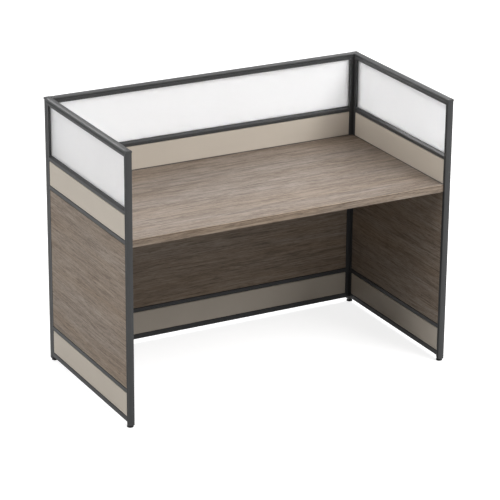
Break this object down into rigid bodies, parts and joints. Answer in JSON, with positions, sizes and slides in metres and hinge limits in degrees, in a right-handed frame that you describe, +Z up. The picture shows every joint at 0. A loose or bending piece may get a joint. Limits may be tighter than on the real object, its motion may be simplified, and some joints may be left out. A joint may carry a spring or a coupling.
{
  "type": "office workstation desk",
  "caption": "Office workstation desk: U of aluminium-framed screens with frosted glass over laminate tiles, a wood-look desktop between them and levelling feet.",
  "frame": {"origin": "on the floor, in the middle of the footprint", "axes": "+Z up, +Y towards the back screen, +X to the right of a person sitting at the desk"},
  "size_m": [1.4, 0.74, 1.1],
  "materials": {
    "frame_extrusion": "dark grey matt powder coat on extruded aluminium",
    "frame_cover": "dark grey satin powder coat on clip-on covers",
    "frosted_glass": "white frosted glass",
    "gasket": "soft black glazing gasket",
    "beige_laminate": "plain beige laminate on board",
    "wood_laminate": "grey-brown oak laminate on board",
    "desktop_laminate": "grey-brown oak laminate on board",
    "desktop_edge": "grey-brown oak edge band",
    "bracket_steel": "dark grey powder-coated steel",
    "fastener_steel": "zinc-plated steel",
    "insert_metal": "black nylon",
    "foot_black": "black moulded nylon on a steel stud"
  },
  "bodies": {
    "desk": {"back_screen_bottom_rail": "frame_extrusion", "back_screen_glass": "frosted_glass", "back_screen_inner_middle_tile": "wood_laminate", "back_screen_inner_upper_tile": "beige_laminate", "back_screen_kick_tiles": "beige_laminate", "back_screen_left_stile": "frame_extrusion", "back_screen_mid_rail": "frame_extrusion", "back_screen_outer_middle_tile": "wood_laminate", "back_screen_outer_upper_tile": "beige_laminate", "back_screen_right_stile": "frame_extrusion", "back_screen_tile_rails": "frame_extrusion", "back_screen_top_cap": "frame_cover", "back_screen_top_rail": "frame_extrusion", "bracket_screws": "fastener_steel", "desk_brackets": "bracket_steel", "desktop_board": "desktop_laminate", "desktop_edge_band": "desktop_edge", "foot_inserts": "insert_metal", "glazing_gaskets": "gasket", "left_corner_post": "frame_extrusion", "left_corner_trim": "frame_cover", "left_front_end_trim": "frame_cover", "left_screen_bottom_rail": "frame_extrusion", "left_screen_front_stile": "frame_extrusion", "left_screen_glass": "frosted_glass", "left_screen_inner_middle_tile": "wood_laminate", "left_screen_inner_upper_tile": "beige_laminate", "left_screen_kick_tiles": "beige_laminate", "left_screen_mid_rail": "frame_extrusion", "left_screen_outer_middle_tile": "wood_laminate", "left_screen_outer_upper_tile": "beige_laminate", "left_screen_rear_stile": "frame_extrusion", "left_screen_tile_rails": "frame_extrusion", "left_screen_top_cap": "frame_cover", "left_screen_top_rail": "frame_extrusion", "right_corner_post": "frame_extrusion", "right_corner_trim": "frame_cover", "right_front_end_trim": "frame_cover", "right_screen_bottom_rail": "frame_extrusion", "right_screen_front_stile": "frame_extrusion", "right_screen_glass": "frosted_glass", "right_screen_inner_middle_tile": "wood_laminate", "right_screen_inner_upper_tile": "beige_laminate", "right_screen_kick_tiles": "beige_laminate", "right_screen_mid_rail": "frame_extrusion", "right_screen_outer_middle_tile": "wood_laminate", "right_screen_outer_upper_tile": "beige_laminate", "right_screen_rear_stile": "frame_extrusion", "right_screen_tile_rails": "frame_extrusion", "right_screen_top_cap": "frame_cover", "right_screen_top_rail": "frame_extrusion", "screen_joint_bolts": "fastener_steel", "top_end_caps": "frame_cover"},
    "front_left_foot": {"front_left_foot": "foot_black"},
    "front_right_foot": {"front_right_foot": "foot_black"},
    "back_left_foot": {"back_left_foot": "foot_black"},
    "back_right_foot": {"back_right_foot": "foot_black"}
  },
  "joints": [
    {"name": "front_left_foot_height", "type": "slide", "parent": "desk", "child": "front_left_foot", "axis": [0, 0, -1], "range_m": [0, 0.015]},
    {"name": "front_right_foot_height", "type": "slide", "parent": "desk", "child": "front_right_foot", "axis": [0, 0, -1], "range_m": [0, 0.015]},
    {"name": "back_left_foot_height", "type": "slide", "parent": "desk", "child": "back_left_foot", "axis": [0, 0, -1], "range_m": [0, 0.015]},
    {"name": "back_right_foot_height", "type": "slide", "parent": "desk", "child": "back_right_foot", "axis": [0, 0, -1], "range_m": [0, 0.015]}
  ]
}
